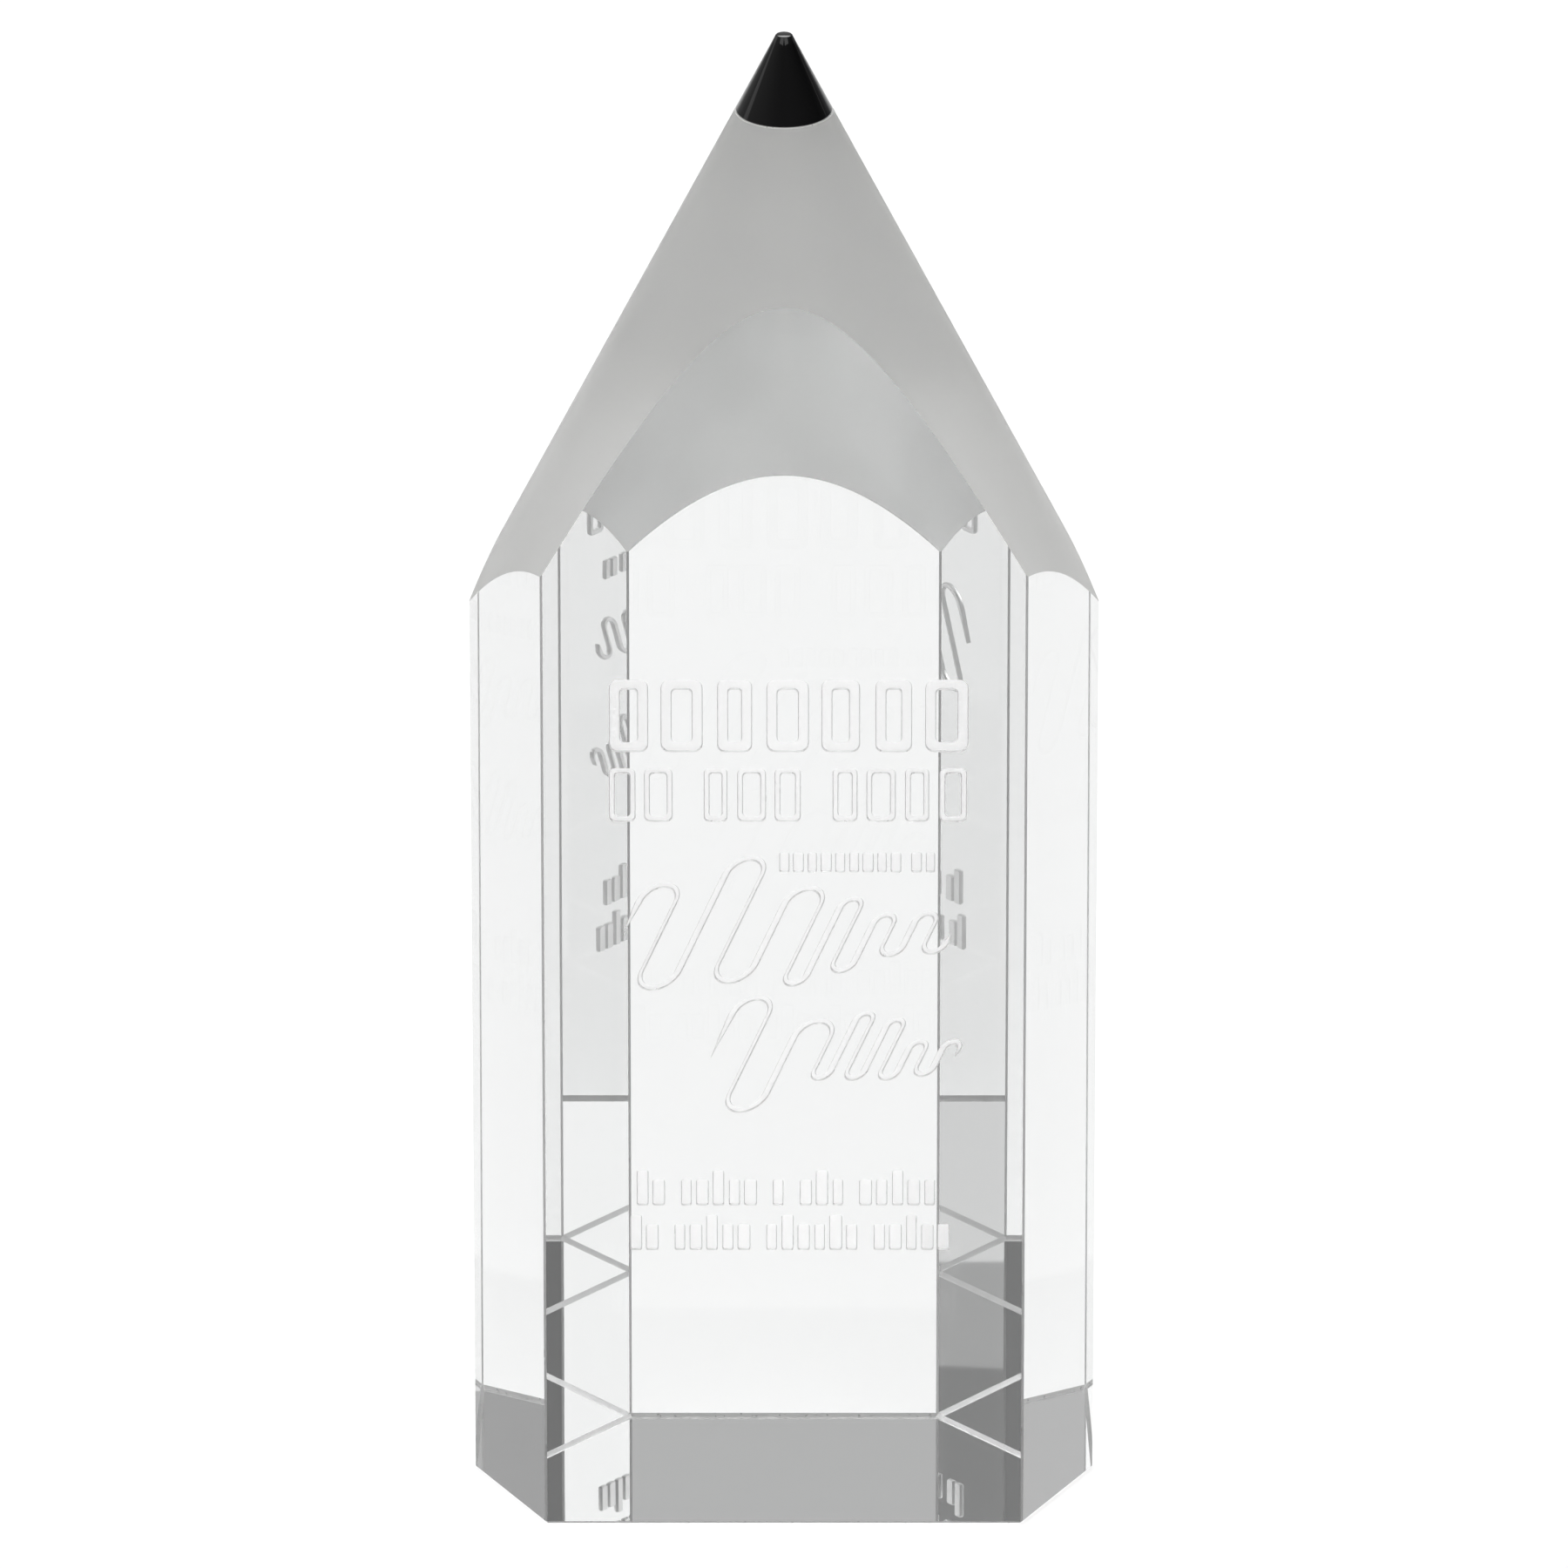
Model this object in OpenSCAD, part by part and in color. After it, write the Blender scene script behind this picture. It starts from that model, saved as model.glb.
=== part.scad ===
// Crystal pencil award: a solid hexagonal crystal block whose top is ground to a cone, with its
// front sliced flat for a shallow engraving, and a black crystal point bonded on the cone's end.
// Millimetres, +Z up. The origin is on the pencil's axis at its underside, and the engraved face
// looks towards -Y.

/* [Award] */
// Height of the whole award, from its underside to the flat end of the point
award_h = 215.6; // [160:0.2:300]
// Width of the hexagon across two opposite corners
corner_w = 86; // [60:0.5:110]
// Distance of the flat engraved face from the pencil's axis
front_y = 17.4; // [12:0.1:30]
// Angle between the cone's side and its axis, in degrees
cone_angle = 26.6; // [18:0.1:34]
// Width of the small flat ground along each upright edge
edge_flat = 0.4; // [0.1:0.05:2]
// Height of the bevel around the underside
base_bevel = 0.5; // [0.2:0.05:3]

/* [Black point] */
// Height of the black point
point_h = 10.9; // [5:0.1:30]
// Diameter of the flat on the end of the point
point_flat_d = 2.2; // [0.6:0.1:5]
// Bevel around the rim of the point's foot
point_bevel = 0.15; // [0.05:0.05:0.5]
// Thickness of the clear adhesive film between the point and the block
bond_t = 0.15; // [0.05:0.05:0.5]

/* [Engraving] */
// Depth of the engraved marks
engrave_depth = 0.35; // [0.1:0.05:1]
// Height of the heading row's foot above the underside
heading_z = 117.4; // [60:0.2:150]
// Height of the heading row's marks
heading_h = 10.8; // [2:0.2:14]
// Width of the stroke that outlines a mark in the heading row
heading_stroke = 1.5; // [0.3:0.1:2]
// Height of the second row's foot above the underside
second_z = 107; // [60:0.2:150]
// Height of the second row's marks
second_h = 8; // [2:0.2:12]
// Width of the stroke that outlines a mark in the second row
second_stroke = 0.8; // [0.3:0.1:1.4]
// Height of the note row's foot above the underside
note_z = 99.4; // [60:0.2:150]
// Height of the note row's marks
note_h = 3; // [1:0.1:6]
// Height of the upper motto row's foot above the underside
motto_z = 49; // [20:0.2:100]
// Drop from the upper motto row to the lower one
motto_drop = 6.8; // [4:0.1:12]
// Height of a tall mark in the motto rows
motto_h = 5.4; // [1:0.1:6]
// Height of the upper flourish's middle line above the underside
flourish_z = 90; // [60:0.2:120]
// Drop from the upper flourish to the lower one
flourish_drop = 18.5; // [12:0.5:30]
// Width of a flourish's heavy strokes
stroke_w = 1; // [0.3:0.05:1.6]
// Slant of the flourishes from the upright, in degrees
slant = 24; // [0:1:40]

/* [Hidden] */
$fn = 96;

corner_r = corner_w / 2;
flat_r = corner_r * cos(30);
front_half_w = corner_r - front_y * tan(30);
cone_slope = tan(cone_angle);
apex_z = award_h + point_flat_d / 2 / cone_slope;
point_z = award_h - point_h;
body_top = point_z - bond_t;

// Radius of the cone at a height
function cone_r(z) = (apex_z - z) * cone_slope;

// The block's section before its upright edges are eased: a hexagon with its front cut flat
section = [
    [-corner_r, 0],
    [-front_half_w, -front_y],
    [front_half_w, -front_y],
    [corner_r, 0],
    [corner_r / 2, flat_r],
    [-corner_r / 2, flat_r],
];

// The point at a distance from one point towards another
function towards(from, to, distance) = from + (to - from) * distance / norm(to - from);

// An outline with each corner cut back by the same distance along both of its sides
function eased(points, cut) = [
    for (i = [0 : len(points) - 1])
        let (before = points[(i + len(points) - 1) % len(points)],
             after = points[(i + 1) % len(points)])
            each [towards(points[i], before, cut), towards(points[i], after, cut)]
];

// A flat of this width on a corner of about 120 degrees cuts each side back by this much
edge_cut = edge_flat / 2 / cos(30);
outline = eased(section, edge_cut);

// One square bar along each bottom edge, turned to cut a 45 degree bevel. The bars run on past
// the corners, so that neighbouring bevels meet in a mitre
module base_bevels() {
    bar = base_bevel * sqrt(2);
    for (i = [0 : len(section) - 1]) {
        start = section[i];
        end = section[(i + 1) % len(section)];
        side = end - start;
        middle = (start + end) / 2;
        translate([middle[0], middle[1], 0])
            rotate([0, 0, atan2(side[1], side[0])])
                rotate([45, 0, 0])
                    cube([norm(side) + 4 * base_bevel, bar, bar], center = true);
    }
}

// A rectangle with round corners, its foot on y = 0 and its middle on x = 0
module rounded_mark(width, height) {
    corner = min(width, height) * 0.22;
    polygon([
        for (turn = [0 : 3], step = [0 : 2])
            let (a = 90 * turn + 45 * step,
                 x = (turn == 0 || turn == 3 ? 1 : -1) * (width / 2 - corner),
                 y = turn < 2 ? height - corner : corner)
                [x + corner * cos(a), y + corner * sin(a)]
    ]);
}

// Number of marks before a word
function marks_before(words, word) = word == 0 ? 0 : words[word - 1] + marks_before(words, word - 1);

// A row of plain marks in words: each word is its number of marks, and every mark stands in the
// middle of its own slot. short_share is the height of a short mark as a share of a tall one.
// With a stroke the marks are open frames, and without one they are solid
module mark_row(words, slot, space, height, middle_x, short_share = 1, stroke = 0) {
    row_w = marks_before(words, len(words)) * slot + (len(words) - 1) * space;
    for (word = [0 : len(words) - 1], i = [0 : words[word] - 1]) {
        mark = marks_before(words, word) + i;
        width = slot * (0.74 + 0.08 * sin(mark * 137));
        tall = height * ((mark * 5 + word) % 3 == 0 ? 1 : short_share);
        translate([middle_x - row_w / 2 + (mark + 0.5) * slot + word * space, 0])
            difference() {
                rounded_mark(width, tall);
                if (stroke > 0)
                    translate([0, stroke])
                        rounded_mark(width - 2 * stroke, tall - 2 * stroke);
            }
    }
}

// Half of the stroke's width on a leg: down strokes are heavy and up strokes are light
function leg_half_w(leg) = stroke_w / 2 * (leg % 2 == 0 ? 1 : 0.6);

// One edge of a flourish, a line that runs along upright legs joined by half circles.
// legs are the legs' places along the row, turns the heights of the half circles' middles
function flourish_edge(legs, turns, side) = [
    [legs[0], 0],
    for (i = [0 : len(turns) - 1])
        let (up = i % 2 == 0 ? 1 : -1,
             middle = (legs[i] + legs[i + 1]) / 2,
             turn_r = (legs[i + 1] - legs[i]) / 2)
            for (step = [0 : 12])
                let (half_w = leg_half_w(i) + (leg_half_w(i + 1) - leg_half_w(i)) * step / 12,
                     r = turn_r + up * side * half_w,
                     a = 180 - 15 * step)
                    [middle + r * cos(a), turns[i] + up * r * sin(a)],
    [legs[len(legs) - 1], 0],
];

// Leans a point over by the slant
function leaned(p) = [p[0] + p[1] * tan(slant), p[1]];

module flourish(legs, turns) {
    there = flourish_edge(legs, turns, 1);
    back = flourish_edge(legs, turns, -1);
    polygon([
        for (p = there) leaned(p),
        for (i = [len(back) - 2 : -1 : 1]) leaned(back[i]),
    ]);
}

// The places of a flourish's legs: wide ones first, then narrow ones
function leg_places(start, wide, wide_gap, narrow, narrow_gap) = [
    for (i = [0 : wide]) start + i * wide_gap,
    for (i = [1 : narrow]) start + wide * wide_gap + i * narrow_gap,
];

// Heights of each flourish's turns from its middle line, upper and lower in turn
upper_turns = [5, -5.5, 9, -4.5, 4.5, -6, 4, -4, 1.6, -1.6, 1.8, -1.2];
lower_turns = [6.5, -5.5, 3, -2, 5.5, -2, 4.5, -2, 1.2, -1.4, 1.2];

// All the engraved marks, as seen from the front
module engraved_marks() {
    translate([0, heading_z])
        mark_row([7], 7.2, 0, heading_h, 0.5, stroke = heading_stroke);
    translate([0, second_z])
        mark_row([2, 3, 4], 4.9, 2.9, second_h, 0.5, stroke = second_stroke);
    translate([0, note_z])
        mark_row([9, 2], 1.9, 0.9, note_h, 10);
    translate([0, motto_z])
        mark_row([2, 5, 1, 3, 5], 2.2, 1.6, motto_h, 0.3, 0.74);
    translate([0, motto_z - motto_drop])
        mark_row([2, 5, 6, 5], 2.2, 1.6, motto_h, 0.8, 0.74);
    translate([0, flourish_z])
        flourish(leg_places(-22, 5, 5, 7, 2.8), upper_turns);
    translate([0, flourish_z - flourish_drop])
        flourish(leg_places(-10, 3, 5, 8, 2.3), lower_turns);
}

module engraving() {
    translate([0, engrave_depth - front_y, 0])
        rotate([90, 0, 0])
            linear_extrude(height = 2 * engrave_depth)
                engraved_marks();
}

module crystal_body() {
    color("gainsboro")
        difference() {
            intersection() {
                linear_extrude(height = body_top)
                    polygon(outline);
                cylinder(h = body_top, r1 = cone_r(0), r2 = cone_r(body_top));
            }
            base_bevels();
            engraving();
        }
}

module tip_bond() {
    color("whitesmoke")
        translate([0, 0, body_top])
            cylinder(h = bond_t, r1 = cone_r(body_top), r2 = cone_r(point_z));
}

module black_tip() {
    color("black")
        translate([0, 0, point_z])
            rotate_extrude()
                polygon([
                    [0, 0],
                    [cone_r(point_z) - point_bevel, 0],
                    [cone_r(point_z + point_bevel), point_bevel],
                    [point_flat_d / 2, point_h],
                    [0, point_h],
                ]);
}

crystal_body();
tip_bond();
black_tip();
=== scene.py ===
# Crystal pencil award: the looks of the crystal block, its bonded black point and the light around them.
import math

import bpy
import numpy as np
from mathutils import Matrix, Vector


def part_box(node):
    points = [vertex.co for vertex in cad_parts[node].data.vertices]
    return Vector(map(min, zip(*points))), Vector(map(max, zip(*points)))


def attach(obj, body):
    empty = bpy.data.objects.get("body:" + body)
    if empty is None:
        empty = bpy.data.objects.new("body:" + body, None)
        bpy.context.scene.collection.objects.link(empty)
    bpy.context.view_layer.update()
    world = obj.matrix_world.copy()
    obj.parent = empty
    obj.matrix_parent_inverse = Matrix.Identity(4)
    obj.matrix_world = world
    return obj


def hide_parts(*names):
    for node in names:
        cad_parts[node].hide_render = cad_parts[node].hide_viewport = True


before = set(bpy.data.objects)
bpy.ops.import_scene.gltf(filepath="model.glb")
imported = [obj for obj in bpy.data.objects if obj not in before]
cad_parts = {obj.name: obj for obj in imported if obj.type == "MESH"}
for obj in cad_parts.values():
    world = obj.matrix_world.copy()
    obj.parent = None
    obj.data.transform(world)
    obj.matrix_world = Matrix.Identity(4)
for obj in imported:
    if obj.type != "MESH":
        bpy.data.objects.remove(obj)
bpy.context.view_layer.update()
print("frame loaded")

mm = 0.001
bodyLow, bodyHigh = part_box("crystal_body")
bondLow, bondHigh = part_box("tip_bond")
tipLow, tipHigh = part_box("black_tip")


def gridQuads(rows, columns, offset=0):
    # Quads between neighbouring rows and columns of a grid whose last column joins its first
    row = np.arange(rows - 1)[:, None] * columns
    here = np.arange(columns)[None, :]
    after = (here + 1) % columns
    quads = np.stack([row + here, row + after, row + columns + after, row + columns + here], axis=-1)
    return quads.reshape(-1, 4) + offset


def closedGrid(name, grid, materials, faceMaterials=0):
    # A closed solid from a grid of rings, lowest ring first, with one flat cap on each end.
    # faceMaterials gives the material of each face between two rings; the caps take the first
    rows, columns = grid.shape[:2]
    faces = gridQuads(rows, columns).tolist()
    faces.append(np.arange(columns)[::-1].tolist())
    faces.append((np.arange(columns) + (rows - 1) * columns).tolist())
    mesh = bpy.data.meshes.new(name)
    mesh.from_pydata(grid.reshape(-1, 3).tolist(), [], faces)
    bands = np.broadcast_to(faceMaterials, (rows - 1, columns)).ravel()
    mesh.polygons.foreach_set("material_index", np.append(bands, [0, 0]).astype(np.int32))
    for material in materials:
        mesh.materials.append(material)
    piece = bpy.data.objects.new(name, mesh)
    bpy.context.collection.objects.link(piece)
    return piece


def roundOver(piece, sharpAngle):
    # Smooth shading, with every edge sharper than the angle kept crisp
    mesh = piece.data
    mesh.polygons.foreach_set("use_smooth", np.ones(len(mesh.polygons), dtype=bool))
    mesh.set_sharp_from_angle(angle=math.radians(sharpAngle))
    mesh.update()


def spun(name, radii, heights, columns, material):
    # A profile of radius and height carried round the pencil's axis:
    # x = radius * cos(turn), y = radius * sin(turn), z = height
    turn = np.linspace(0, 2 * math.pi, columns, endpoint=False)
    r = np.asarray(radii)[:, None]
    z = np.asarray(heights)[:, None] + 0 * turn
    grid = np.stack([r * np.cos(turn), r * np.sin(turn), z], axis=-1)
    return closedGrid(name, grid, [material])


def newMaterial(name):
    material = bpy.data.materials.new(name)
    material.use_nodes = True
    nodes = material.node_tree.nodes
    return material, nodes, material.node_tree.links, nodes["Principled BSDF"]


def objectNoise(nodes, links, scale, detail, stretch=(1, 1, 1)):
    # Noise on the object's own coordinates, stretched along an axis where asked
    place = nodes.new("ShaderNodeTexCoord")
    mapping = nodes.new("ShaderNodeMapping")
    mapping.inputs["Scale"].default_value = stretch
    noise = nodes.new("ShaderNodeTexNoise")
    noise.inputs["Scale"].default_value = scale
    noise.inputs["Detail"].default_value = detail
    links.new(place.outputs["Object"], mapping.inputs["Vector"])
    links.new(mapping.outputs["Vector"], noise.inputs["Vector"])
    return noise.outputs["Fac"]


def spread(nodes, links, value, low, high):
    # Spreads the middle of a noise, where nearly all of it lies, from low to high
    node = nodes.new("ShaderNodeMapRange")
    node.inputs["From Min"].default_value = 0.3
    node.inputs["From Max"].default_value = 0.7
    node.inputs["To Min"].default_value = low
    node.inputs["To Max"].default_value = high
    links.new(value, node.inputs["Value"])
    return node.outputs["Result"]


def bumped(nodes, links, shader, value, strength, distance):
    # Uses a value as fine relief, with its distance in metres
    bump = nodes.new("ShaderNodeBump")
    bump.inputs["Strength"].default_value = strength
    bump.inputs["Distance"].default_value = distance
    links.new(value, bump.inputs["Height"])
    links.new(bump.outputs["Normal"], shader.inputs["Normal"])


crystalLook = {
    "ior": 1.52,
    "tint": (0.88, 0.885, 0.884, 1),
    "absorbs": (0.2, 0.22, 0.21, 1),
    "density": 0.95,         # light lost inside the crystal, per metre
    "frostTint": (0.42, 0.42, 0.41, 1),
    "frostTransmission": 0.92,
    "frostRoughness": 0.5,
    "markTint": (1.0, 1.0, 1.0, 1),
    "markTransmission": 0.75,
    # The two greys below, with the lowered transmission after them, are painted shade on the ground edge
    # flats, the base bevel and the engraving's walls
    "groundShadeTint": (0.3, 0.3, 0.3, 1),
    "wallShadeTint": (0.5, 0.5, 0.5, 1),
    "groundTransmission": 0.45,
}


def polishedCrystal():
    # Clear optical crystal: a faint haze of polish in the roughness and a barely wavy surface
    material, nodes, links, shader = newMaterial("polishedCrystal")
    shader.inputs["Base Color"].default_value = crystalLook["tint"]
    shader.inputs["IOR"].default_value = crystalLook["ior"]
    shader.inputs["Transmission Weight"].default_value = 1.0
    haze = objectNoise(nodes, links, 45, 3)
    links.new(spread(nodes, links, haze, 0.0, 0.012), shader.inputs["Roughness"])
    wave = objectNoise(nodes, links, 18, 1)
    bumped(nodes, links, shader, wave, 0.02, 0.0004)
    fog = nodes.new("ShaderNodeVolumeAbsorption")
    fog.inputs["Color"].default_value = crystalLook["absorbs"]
    fog.inputs["Density"].default_value = crystalLook["density"]
    links.new(fog.outputs["Volume"], nodes["Material Output"].inputs["Volume"])
    return material


def frostedCrystal():
    # Sandblasted crystal: a fine even grain, with soft clouds where the blast was heavier
    material, nodes, links, shader = newMaterial("frostedCrystal")
    shader.inputs["Base Color"].default_value = crystalLook["frostTint"]
    shader.inputs["IOR"].default_value = crystalLook["ior"]
    shader.inputs["Transmission Weight"].default_value = crystalLook["frostTransmission"]
    cloud = objectNoise(nodes, links, 40, 4, (1, 1, 0.4))
    roughness = crystalLook["frostRoughness"]
    links.new(spread(nodes, links, cloud, roughness - 0.05, roughness + 0.07), shader.inputs["Roughness"])
    grain = objectNoise(nodes, links, 7000, 2)
    bumped(nodes, links, shader, grain, 0.06, 0.00004)
    return material


def engravedCrystal():
    # The blasted floor of an engraved mark: whiter and coarser than the cone
    material, nodes, links, shader = newMaterial("engravedCrystal")
    shader.inputs["Base Color"].default_value = crystalLook["markTint"]
    shader.inputs["IOR"].default_value = crystalLook["ior"]
    shader.inputs["Transmission Weight"].default_value = crystalLook["markTransmission"]
    grain = objectNoise(nodes, links, 3200, 3)
    links.new(spread(nodes, links, grain, 0.55, 0.8), shader.inputs["Roughness"])
    bumped(nodes, links, shader, grain, 0.5, 0.0001)
    return material


def groundCrystalPaintedShade(name, tint):
    # Ground but not fully polished, with grinding marks that run along the pencil. Its grey colour is
    # painted shade: the narrow flats on the edges read as thin grey lines of painted shade, the bevel
    # under the base as a painted contact shadow, and the walls of the engraving as painted shade in the
    # grooves
    material, nodes, links, shader = newMaterial(name)
    shader.inputs["Base Color"].default_value = crystalLook[tint]
    shader.inputs["IOR"].default_value = crystalLook["ior"]
    shader.inputs["Transmission Weight"].default_value = crystalLook["groundTransmission"]
    scratches = objectNoise(nodes, links, 1400, 3, (1, 1, 0.15))
    links.new(spread(nodes, links, scratches, 0.25, 0.45), shader.inputs["Roughness"])
    bumped(nodes, links, shader, scratches, 0.2, 0.00005)
    return material


pointLook = {
    "darkest": (0.0012, 0.0012, 0.0014, 1),
    "lightest": (0.003, 0.003, 0.0032, 1),
    "gloss": 0.3,
}


def blackCrystal():
    # Polished black crystal: almost no colour of its own, with faint wipe marks in its gloss
    material, nodes, links, shader = newMaterial("blackCrystal")
    cloud = objectNoise(nodes, links, 120, 2)
    shades = nodes.new("ShaderNodeMixRGB")
    shades.inputs["Color1"].default_value = pointLook["darkest"]
    shades.inputs["Color2"].default_value = pointLook["lightest"]
    links.new(cloud, shades.inputs["Fac"])
    links.new(shades.outputs["Color"], shader.inputs["Base Color"])
    shader.inputs["IOR"].default_value = crystalLook["ior"]
    shader.inputs["Specular IOR Level"].default_value = pointLook["gloss"]
    wipes = objectNoise(nodes, links, 260, 3, (1, 1, 0.25))
    links.new(spread(nodes, links, wipes, 0.03, 0.08), shader.inputs["Roughness"])
    bumped(nodes, links, shader, wipes, 0.03, 0.0001)
    return material


adhesiveLook = {
    "ior": 1.5,
    "tint": (0.9, 0.9, 0.88, 1),
    "transmission": 0.35,
}


def curedAdhesive():
    # The thin film of cured adhesive, slightly milky where it meets the air
    material, nodes, links, shader = newMaterial("curedAdhesive")
    shader.inputs["Base Color"].default_value = adhesiveLook["tint"]
    shader.inputs["IOR"].default_value = adhesiveLook["ior"]
    shader.inputs["Transmission Weight"].default_value = adhesiveLook["transmission"]
    ripple = objectNoise(nodes, links, 900, 2)
    links.new(spread(nodes, links, ripple, 0.25, 0.45), shader.inputs["Roughness"])
    bumped(nodes, links, shader, ripple, 0.2, 0.00005)
    return material


# The two ground materials carry painted shade in their grey colour: on the edge flats, the base bevel and
# the engraving's walls
crystalMaterials = [polishedCrystal(), frostedCrystal(), engravedCrystal(),
                    groundCrystalPaintedShade("groundEdgesPaintedShade", "groundShadeTint"), groundCrystalPaintedShade("groundWallsPaintedShade", "wallShadeTint")]
finish = {"polished": 0, "frosted": 1, "engraved": 2, "ground": 3, "wall": 4}   # places in the list
print("materials made")


block = {
    "coneAngle": 26.6,       # between the cone's side and its axis, in degrees
    "edgeFlat": 0.4 * mm,    # the small flat ground along each upright edge
    "baseBevel": 0.5 * mm,   # the bevel around the underside
    "sideColumns": 54,       # columns across each upright face
    "edgeColumns": 2,        # columns across each small flat
    "coneRings": 26,         # rings up the cone
}

frontY = -bodyLow[1]
flatR = bodyHigh[1]
blockTop = bodyHigh[2]
coneTopR = bondHigh[0]
coneSlope = math.tan(math.radians(block["coneAngle"]))
apexZ = blockTop + coneTopR / coneSlope


def sectionCorners(inset):
    # The block's six-sided section with each face moved in: a regular hexagon whose front is cut flat
    flat = flatR - inset
    front = frontY - inset
    corner = flat / math.cos(math.pi / 6)
    frontHalf = corner - front * math.tan(math.pi / 6)
    return np.array([
        [-corner, 0], [-frontHalf, -front], [frontHalf, -front],
        [corner, 0], [corner / 2, flat], [-corner / 2, flat],
    ])


def easedRing(corners, cut):
    # Each corner becomes two points, one along each of its sides, the same distance away
    def towards(others):
        side = others - corners
        return corners + side * cut / np.linalg.norm(side, axis=1, keepdims=True)
    pairs = np.stack([towards(np.roll(corners, 1, axis=0)), towards(np.roll(corners, -1, axis=0))], axis=1)
    return pairs.reshape(-1, 2)


def alongRing(ring):
    # Points spaced evenly along each side: start * (1 - share) + end * share
    counts = np.tile([block["edgeColumns"], block["sideColumns"]], len(ring) // 2)
    side = np.repeat(np.arange(len(ring)), counts)
    share = np.concatenate([np.arange(count) / count for count in counts])[:, None]
    return ring[side] * (1 - share) + ring[(side + 1) % len(ring)] * share


def ringAt(points, z):
    return np.column_stack([points, np.broadcast_to(z, len(points))])


def crystalBlock():
    # Every column stands on one point of the section, rises straight to the cone and then
    # leans in along it. The wall meets the cone at z = apex - distance from the axis / slope,
    # which draws an arch on each face. On the cone, both the distance from the axis and the
    # height run evenly from the arch to the top rim
    cut = block["edgeFlat"] / 2 / math.cos(math.pi / 6)
    foot = alongRing(easedRing(sectionCorners(block["baseBevel"]), cut / 3))
    wall = alongRing(easedRing(sectionCorners(0), cut))
    reach = np.linalg.norm(wall, axis=1)
    archZ = apexZ - reach / coneSlope
    rings = [ringAt(foot, 0), ringAt(wall, block["baseBevel"]), ringAt(wall, archZ)]
    rise = np.linspace(0, 1, block["coneRings"])[1:, None]
    shrink = 1 + rise * (coneTopR / reach - 1)
    cone = np.stack([wall[:, 0] * shrink, wall[:, 1] * shrink, archZ + rise * (blockTop - archZ)], axis=-1)
    grid = np.concatenate([np.array(rings), cone])
    onEdge = np.tile(np.repeat([1, 0], [block["edgeColumns"], block["sideColumns"]]), 6)
    surface = np.zeros((len(grid) - 1, len(wall)), dtype=int)
    # The bevel under the base and the flats on the upright edges take the ground finish, whose grey colour
    # is painted shade: a contact shadow under the base and dark lines along the edges
    surface[0] = finish["ground"]
    surface[1] = np.where(onEdge, finish["ground"], finish["polished"])
    surface[2:] = finish["frosted"]
    return closedGrid("crystal_block", grid, crystalMaterials, surface)


engraving = {
    "depth": 0.35 * mm,
    "wallLean": 0.13,        # how far a mark narrows on each side from the face to its floor, in mm
    "cornerShare": 0.22,     # corner radius of a mark, as a share of its smaller side
    # foot, slot, word space, height, middle, words, short marks' share and frame's stroke, in mm
    "rows": [
        (117.4, 7.2, 0, 10.8, 0.5, [7], 1, 1.5),
        (107, 4.9, 2.9, 8, 0.5, [2, 3, 4], 1, 0.8),
        (99.4, 1.9, 0.9, 3, 10, [9, 2], 1, 0),
        (49, 2.2, 1.6, 5.4, 0.3, [2, 5, 1, 3, 5], 0.74, 0),
        (42.2, 2.2, 1.6, 5.4, 0.8, [2, 5, 6, 5], 0.74, 0),
    ],
    "strokeWidth": 1.0,
    "slant": 24,
    # middle line, first leg, wide gaps and their size, narrow gaps and their size, turns' heights
    "flourishes": [
        (90, -22, 5, 5, 7, 2.8, [5, -5.5, 9, -4.5, 4.5, -6, 4, -4, 1.6, -1.6, 1.8, -1.2]),
        (71.5, -10, 3, 5, 8, 2.3, [6.5, -5.5, 3, -2, 5.5, -2, 4.5, -2, 1.2, -1.4, 1.2]),
    ],
}


def roundedMark(middleX, footZ, width, height, grow=0):
    # A rectangle whose corners are arcs: corner middle + radius * (cos, sin) of the turn. The
    # whole outline grows outwards by one distance
    corner = min(width, height) * engraving["cornerShare"]
    turn = np.radians(np.add.outer(np.arange(4) * 90, np.linspace(0, 90, 5))).ravel()
    x = np.repeat([1, -1, -1, 1], 5) * (width / 2 - corner) + middleX
    z = np.repeat([height - corner, height - corner, corner, corner], 5) + footZ
    return np.column_stack([x + (corner + grow) * np.cos(turn), z + (corner + grow) * np.sin(turn)])


def markRow(grow, foot, slot, space, height, middle, words, shortShare, stroke):
    # Each mark stands in the middle of its own slot. Widths vary with the sine of the mark's
    # number, and a few marks in a row are taller than the rest. With a stroke, each mark is an
    # outline and the hole inside it
    rowWidth = sum(words) * slot + (len(words) - 1) * space
    word = np.repeat(np.arange(len(words)), words)
    mark = np.arange(len(word))
    widths = slot * (0.74 + 0.08 * np.sin(np.radians(mark * 137)))
    heights = height * np.where((mark * 5 + word) % 3 == 0, 1, shortShare)
    places = middle - rowWidth / 2 + (mark + 0.5) * slot + word * space
    sizes = list(zip(places, widths, heights))
    if not stroke:
        return [(roundedMark(x, foot, w, h, grow), None) for x, w, h in sizes]
    return [(roundedMark(x, foot, w, h, grow),
             roundedMark(x, foot + stroke, w - 2 * stroke, h - 2 * stroke, -grow)) for x, w, h in sizes]


def flourishSide(legs, turns, halfWidths, side):
    # One edge of the stroke: half circles joined by upright legs, the radius of each half circle
    # made larger or smaller by half the stroke's width
    number = np.arange(len(turns))
    up = np.where(number % 2 == 0, 1, -1)[:, None]
    middle = ((legs[:-1] + legs[1:]) / 2)[:, None]
    radius = ((legs[1:] - legs[:-1]) / 2)[:, None]
    share = np.linspace(0, 1, 19)[None, :]
    halfWidth = halfWidths[:-1, None] * (1 - share) + halfWidths[1:, None] * share
    r = radius + up * side * halfWidth
    angle = math.pi * (1 - share)
    x = middle + r * np.cos(angle)
    z = np.array(turns)[:, None] + up * r * np.sin(angle)
    return np.column_stack([x.ravel(), z.ravel()])


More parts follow.
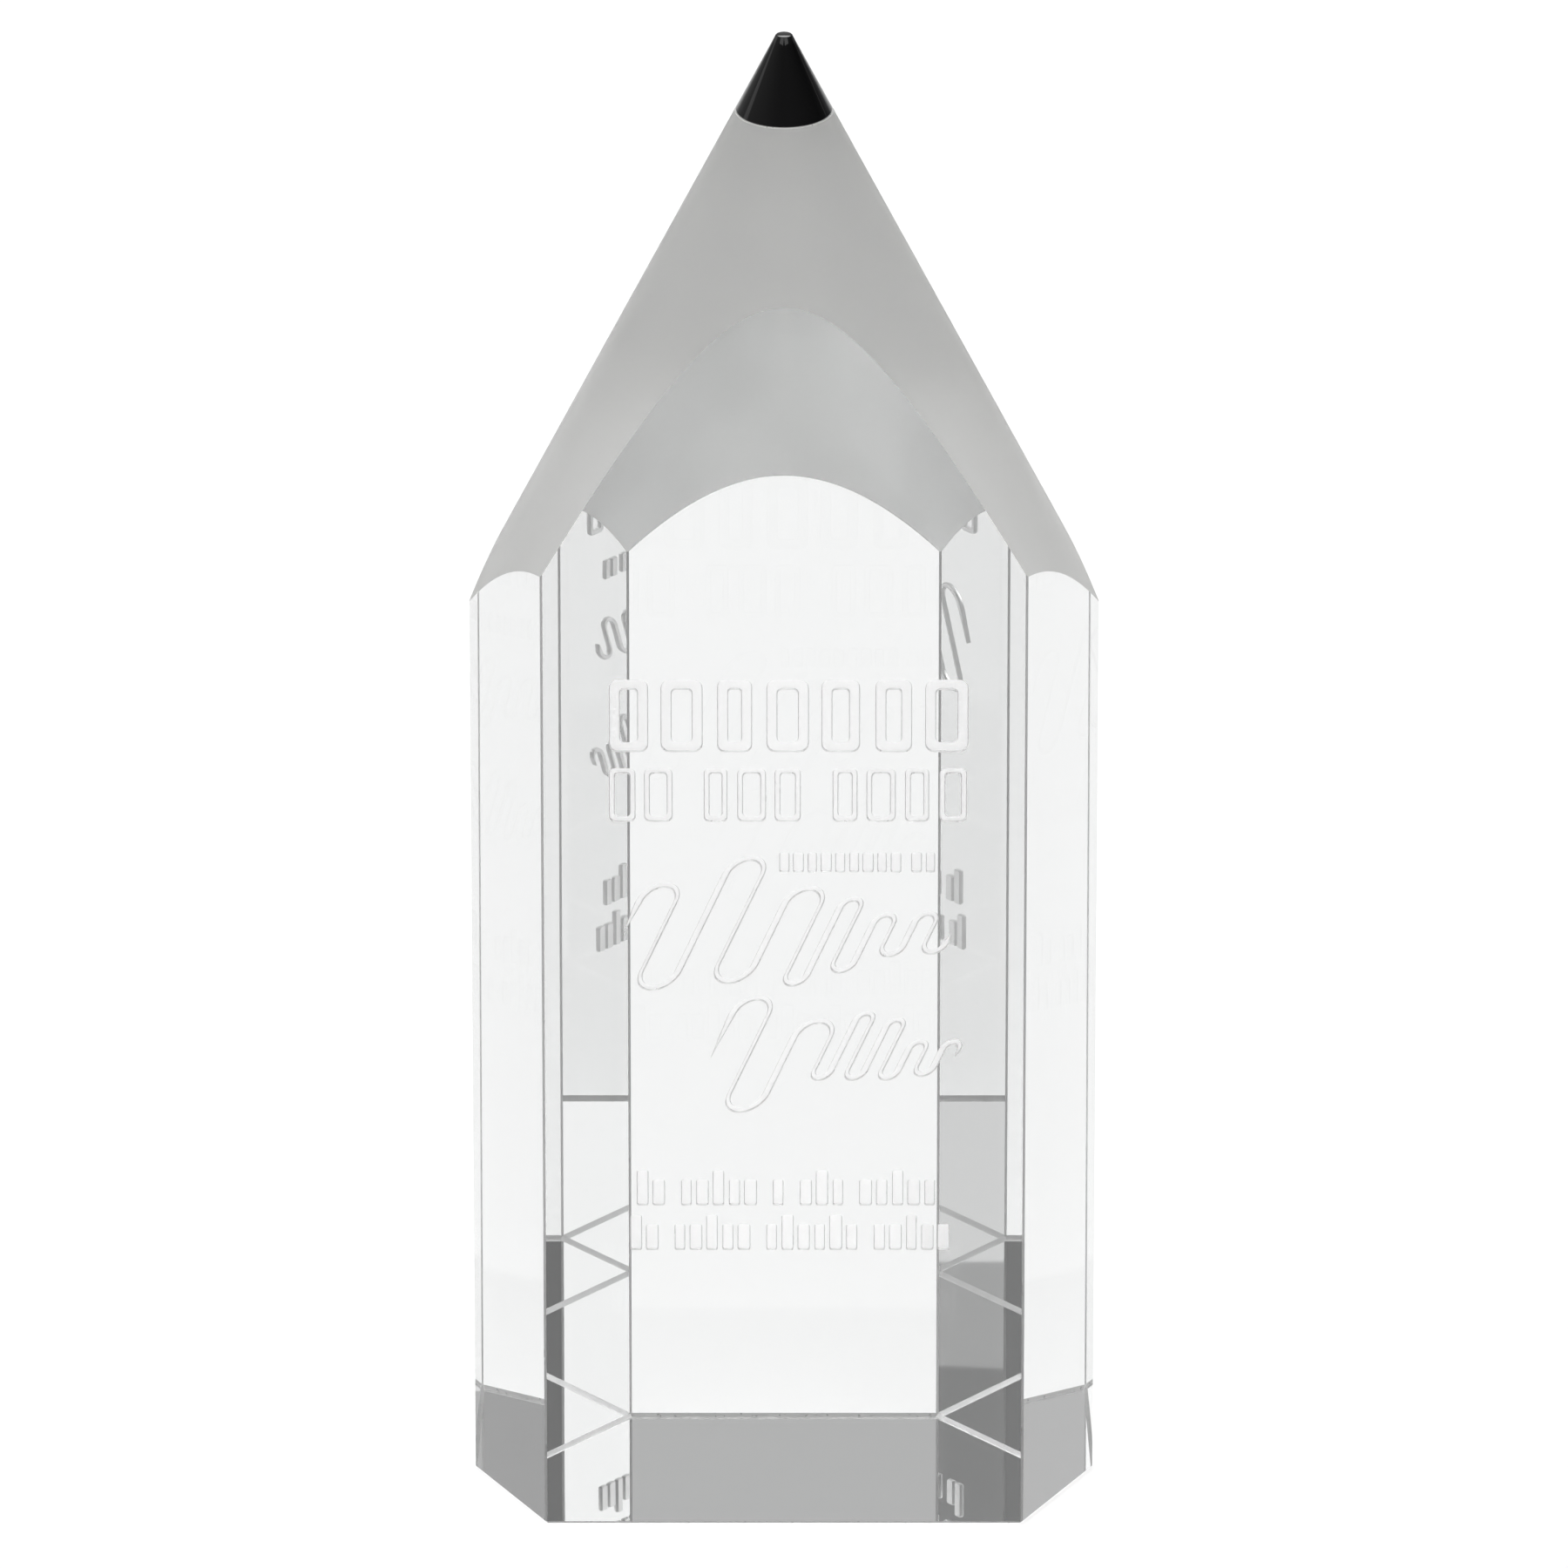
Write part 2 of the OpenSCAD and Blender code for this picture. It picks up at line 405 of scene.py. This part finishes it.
def flourish(grow, middleZ, start, wideGaps, wideGap, narrowGaps, narrowGap, turns):
    # A pen stroke that runs up and down its legs, heavy going down and light going up, all leaned
    # over by the slant: x = x + z * tan(slant)
    gaps = np.concatenate([[0], np.full(wideGaps, wideGap), np.full(narrowGaps, narrowGap)])
    legs = start + np.cumsum(gaps)[:len(turns) + 1]
    halfWidths = engraving["strokeWidth"] / 2 * np.where(np.arange(len(legs)) % 2 == 0, 1, 0.6) + grow
    there = flourishSide(legs, turns, halfWidths, 1)
    back = flourishSide(legs, turns, halfWidths, -1)[::-1]
    outline = np.concatenate([[[legs[0], 0]], there, [[legs[-1], 0]], back])
    outline[:, 0] += outline[:, 1] * math.tan(math.radians(engraving["slant"]))
    outline[:, 1] += middleZ
    return outline[::-1], None


def allMarks(grow):
    marks = [mark for row in engraving["rows"] for mark in markRow(grow, *row)]
    return marks + [flourish(grow, *row) for row in engraving["flourishes"]]


def markSolid(outside, inside, base):
    # The points, the faces and each face's finish for one mark's solid, between its outline just in
    # front of the face and its smaller outline at the floor of the engraving. A frame's ends are
    # strips between its outline and its hole, point to point
    loops = [loop for pair in zip(outside, inside) for loop in pair if loop is not None]
    count = len(loops[0])
    depths = np.resize([-frontY - engraving["depth"], -frontY + engraving["depth"]], len(loops))
    points = np.concatenate([np.column_stack([loop[:, 0] * mm, np.full(count, y), loop[:, 1] * mm])
                             for loop, y in zip(loops, depths)])
    here = np.arange(count) + base
    after = np.roll(here, -1)
    walls = np.column_stack([here, here + count, after + count, after]).tolist()
    if len(loops) == 2:
        ends = [here.tolist(), (here[::-1] + count).tolist()]
    else:
        hole = 2 * count
        walls += (np.column_stack([after, after + count, here + count, here]) + hole).tolist()
        ends = np.column_stack([here, after, after + hole, here + hole]).tolist()
        ends += (np.column_stack([here + hole, after + hole, after, here]) + count).tolist()
    # The walls take a grey finish whose colour is painted shade in the grooves; the floors take the white
    # engraved finish
    return points, walls + ends, [finish["wall"]] * len(walls) + [finish["engraved"]] * len(ends)


def markCutter():
    # Every mark's solid in one mesh, in the materials that its faces leave on the crystal
    points, faces, finishes = [], [], []
    for outside, inside in zip(allMarks(engraving["wallLean"]), allMarks(-engraving["wallLean"])):
        base = sum(len(part) for part in points)
        markPoints, markFaces, markFinishes = markSolid(outside, inside, base)
        points.append(markPoints)
        faces += markFaces
        finishes += markFinishes
    mesh = bpy.data.meshes.new("mark_cutter")
    mesh.from_pydata(np.concatenate(points).tolist(), [], faces)
    mesh.polygons.foreach_set("material_index", np.array(finishes, dtype=np.int32))
    for material in crystalMaterials:
        mesh.materials.append(material)
    cutter = bpy.data.objects.new("mark_cutter", mesh)
    bpy.context.collection.objects.link(cutter)
    return cutter


def engrave(piece):
    # Takes the marks out of the front face, and keeps the result as the piece's own mesh
    cutter = markCutter()
    cut = piece.modifiers.new("engrave", "BOOLEAN")
    cut.operation = "DIFFERENCE"
    cut.solver = "EXACT"
    cut.object = cutter
    evaluated = piece.evaluated_get(bpy.context.evaluated_depsgraph_get())
    mesh = bpy.data.meshes.new_from_object(evaluated)
    piece.modifiers.clear()
    piece.data = mesh
    mesh.name = piece.name
    bpy.data.objects.remove(cutter)


crystal = crystalBlock()
engrave(crystal)
roundOver(crystal, 14)
crystal.visible_shadow = False   # light goes through the crystal, so it hardly shades the floor
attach(crystal, "root")
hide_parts("crystal_body")
print("crystal block:", len(crystal.data.polygons), "faces")


point = {
    "columns": 128,
    "bevel": 0.15 * mm,      # around the foot of the point
    "tipBevel": 0.12 * mm,   # around the small flat on its end
    "flatR": 1.1 * mm,
    "bondBulge": 0.03 * mm,  # how far the film stands out between the two crystals
}


def coneR(z):
    return (apexZ - z) * coneSlope


def blackPoint():
    # The cone carried on to a small flat, with its foot and its end lightly bevelled
    foot, top = tipLow[2], tipHigh[2]
    bevel, tipBevel = point["bevel"], point["tipBevel"]
    sideZ = np.linspace(foot + bevel, top - tipBevel, 12)
    heights = np.concatenate([[foot], sideZ, [top - 0.3 * tipBevel, top]])
    radii = np.concatenate([[coneR(foot) - bevel], coneR(sideZ), [point["flatR"] - 0.2 * tipBevel,
                                                                 point["flatR"] - tipBevel]])
    return spun("black_point", radii, heights, point["columns"], blackCrystal())


def bondFilm():
    # A thin disc whose rim bulges out as a half wave between the two crystals
    share = np.linspace(0, 1, 7)
    heights = bondLow[2] + share * (bondHigh[2] - bondLow[2])
    radii = coneR(heights) + point["bondBulge"] * np.sin(math.pi * share)
    return spun("bond_film", radii, heights, point["columns"], curedAdhesive())


tip = blackPoint()
roundOver(tip, 25)
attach(tip, "root")
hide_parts("black_tip")

bond = bondFilm()
roundOver(bond, 40)
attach(bond, "root")
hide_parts("tip_bond")
print("black point and bond film made")


studio = {
    "floorSize": 6.0,
    "floorGap": 0.1 * mm,    # the sliver of air that is left under a polished underside
    "floorColour": (0.95, 0.95, 0.95, 1),
    "behind": 0.43,          # brightness of the room behind the award
    "camera": 0.0,           # on the camera's side
    "left": 0.38,
    "right": 0.02,
    "above": 0.8,
    # name, bearing from straight behind the award (towards the right), height angle, distance,
    # size and power of each soft light
    "lights": [
        ("back_softbox", 0, 48, 2.0, 1.0, 15.6),
        ("left_softbox", -68, 27, 1.6, 0.8, 1.5),
        ("front_right_softbox", 150, 52, 3.0, 1.8, 20),
        ("front_left_softbox", -150, 52, 3.0, 1.8, 20),
        ("right_card", 59, 16.3, 1.0, 0.16, 0.031),        # two small cards that the lower right of
        ("right_grey_card", 59, 18.3, 1.1, 0.16, 0.016),   # the block mirrors, the grey one higher
    ],
}


def makeFloor():
    # One square sheet, pale and matt, with a faint mottle
    half = studio["floorSize"] / 2
    mesh = bpy.data.meshes.new("studio_floor")
    corners = np.array([[-1, -1], [1, -1], [1, 1], [-1, 1]]) * half
    mesh.from_pydata(ringAt(corners, -studio["floorGap"]).tolist(), [], [(0, 1, 2, 3)])
    material, nodes, links, shader = newMaterial("paleFloor")
    shader.inputs["Base Color"].default_value = studio["floorColour"]
    mottle = objectNoise(nodes, links, 8, 2)
    links.new(spread(nodes, links, mottle, 0.7, 0.8), shader.inputs["Roughness"])
    mesh.materials.append(material)
    floor = bpy.data.objects.new("studio_floor", mesh)
    bpy.context.collection.objects.link(floor)


def makeDome():
    # The room as brightness by direction: each side's value counts as the square of the
    # direction's part along that side, so the values blend evenly all the way round
    world = bpy.data.worlds.new("studio")
    bpy.context.scene.world = world
    world.use_nodes = True
    nodes, links = world.node_tree.nodes, world.node_tree.links
    background = nodes["Background"]
    place = nodes.new("ShaderNodeTexCoord")
    parts = nodes.new("ShaderNodeSeparateXYZ")
    links.new(place.outputs["Generated"], parts.inputs["Vector"])

    def sideLight(axis, low, high):
        # Square of the direction's part along the axis, times the value on its side
        pick = nodes.new("ShaderNodeMapRange")
        pick.interpolation_type = "SMOOTHSTEP"
        pick.inputs["From Min"].default_value = -0.3
        pick.inputs["From Max"].default_value = 0.3
        pick.inputs["To Min"].default_value = low
        pick.inputs["To Max"].default_value = high
        links.new(parts.outputs[axis], pick.inputs["Value"])
        square = nodes.new("ShaderNodeMath")
        square.operation = "MULTIPLY"
        links.new(parts.outputs[axis], square.inputs[0])
        links.new(parts.outputs[axis], square.inputs[1])
        both = nodes.new("ShaderNodeMath")
        both.operation = "MULTIPLY"
        links.new(square.outputs["Value"], both.inputs[0])
        links.new(pick.outputs["Result"], both.inputs[1])
        return both.outputs["Value"]

    def added(a, b):
        total = nodes.new("ShaderNodeMath")
        links.new(a, total.inputs[0])
        links.new(b, total.inputs[1])
        return total.outputs["Value"]

    sides = added(sideLight("X", studio["left"], studio["right"]),
                  sideLight("Y", studio["camera"], studio["behind"]))
    light = added(sides, sideLight("Z", studio["above"], studio["above"]))
    links.new(light, background.inputs["Color"])


def softLight(name, bearing, rise, distance, size, power):
    # A square light that looks at the middle of the award from a bearing and a height angle
    middle = Vector((0, 0, tipHigh[2] / 2))
    bearing, rise = math.radians(bearing), math.radians(rise)
    away = Vector((math.sin(bearing) * math.cos(rise), math.cos(bearing) * math.cos(rise), math.sin(rise)))
    data = bpy.data.lights.new(name, "AREA")
    data.shape = "SQUARE"
    data.size = size
    data.energy = power
    lamp = bpy.data.objects.new(name, data)
    bpy.context.collection.objects.link(lamp)
    lamp.location = middle + away * distance
    lamp.rotation_euler = away.to_track_quat("Z", "Y").to_euler()


view = {
    "back": 2.4,             # how far the camera stands in front of the pencil's axis
    "height": 1.203,         # above the floor
    "tiltDown": 24.59,       # degrees
    "lens": 442.6,
}


def makeCamera():
    # A long lens that looks down at the award from straight in front
    data = bpy.data.cameras.new("camera")
    data.lens = view["lens"]
    data.clip_end = 50
    camera = bpy.data.objects.new("camera", data)
    bpy.context.collection.objects.link(camera)
    camera.location = (0, -view["back"], view["height"])
    camera.rotation_euler = (math.radians(90 - view["tiltDown"]), 0, 0)
    bpy.context.scene.camera = camera


makeFloor()
makeDome()
for softbox in studio["lights"]:
    softLight(*softbox)
makeCamera()
bpy.context.scene.view_settings.view_transform = "Standard"
cycles = bpy.context.scene.cycles
cycles.max_bounces = 40          # light runs round inside the six-sided block many times before it leaves
cycles.glossy_bounces = 40
cycles.transmission_bounces = 40
print("studio ready")
